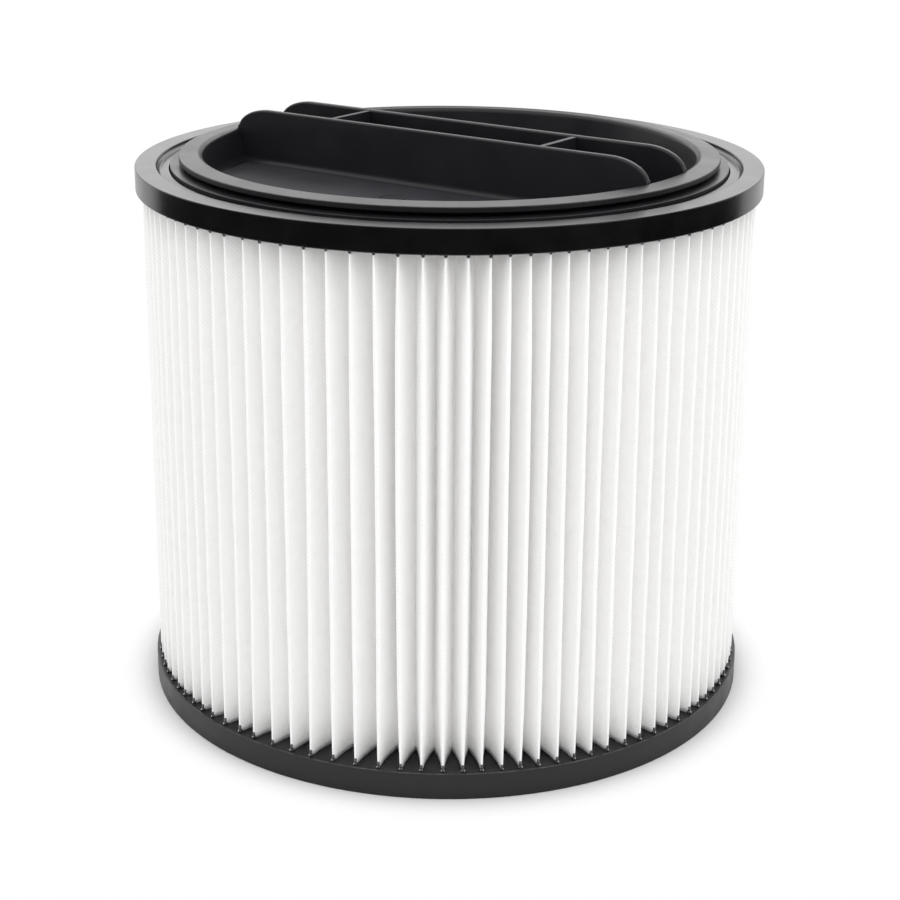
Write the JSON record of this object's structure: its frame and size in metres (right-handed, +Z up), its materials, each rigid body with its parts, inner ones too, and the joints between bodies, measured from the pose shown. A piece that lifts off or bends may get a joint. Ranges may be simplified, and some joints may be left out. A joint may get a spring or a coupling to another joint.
{
  "type": "vacuum filter",
  "caption": "Pleated cartridge filter for a wet/dry vacuum, with poured end caps, an open lower end and a closing lid that has finger blades.",
  "frame": {"origin": "centre of the bottom end cap's underside, on the filter's axis", "axes": "+Z up along the filter's axis towards the lid, +X along the lid's finger blades"},
  "size_m": [0.2, 0.2, 0.1844],
  "materials": {
    "media": "matte point-bonded sheet",
    "core": "moulded",
    "cap": "smooth poured",
    "lid": "fine moulded texture"
  },
  "bodies": {
    "root": {"pleated_media": "media", "support_core": "core", "bottom_end_cap": "cap", "top_end_cap": "cap", "lid": "lid"}
  },
  "joints": []
}
